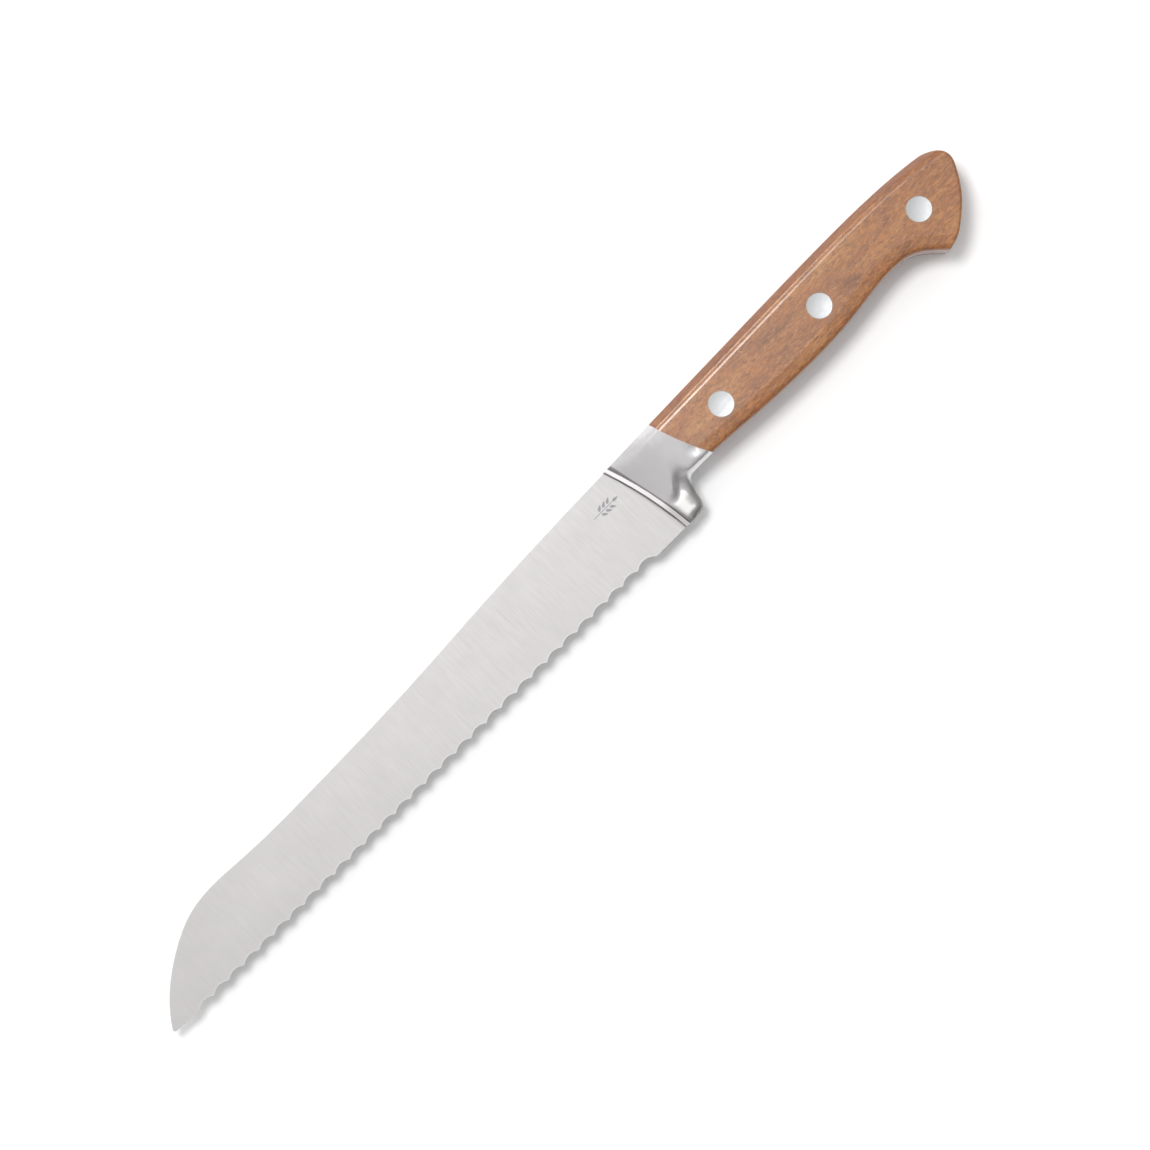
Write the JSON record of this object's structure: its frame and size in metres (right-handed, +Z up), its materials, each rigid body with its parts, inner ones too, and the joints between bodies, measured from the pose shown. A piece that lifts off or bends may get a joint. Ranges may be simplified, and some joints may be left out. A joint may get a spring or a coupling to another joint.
{
  "type": "bread knife",
  "caption": "Bread knife with a long scalloped blade, a full forged bolster and a riveted wooden handle with a hooked butt, for sawing through crusty loaves.",
  "frame": {"origin": "bottom centre of the knife's box as it lies on its right side, under the middle of its length", "axes": "+X from the tip of the blade to the butt of the handle, +Y from the cutting edge to the spine, +Z up through the left side of the knife"},
  "size_m": [0.331, 0.0296, 0.018],
  "materials": {
    "steel": "fine satin blade, brighter polished bolster",
    "wood": "oiled mid-brown hardwood, grain along the handle",
    "rivet": "ground flush, fine satin"
  },
  "bodies": {
    "root": {"forging": "steel", "left_scale": "wood", "right_scale": "wood", "front_rivet_socket": "rivet", "front_rivet_pin": "rivet", "middle_rivet_socket": "rivet", "middle_rivet_pin": "rivet", "rear_rivet_socket": "rivet", "rear_rivet_pin": "rivet"}
  },
  "joints": []
}
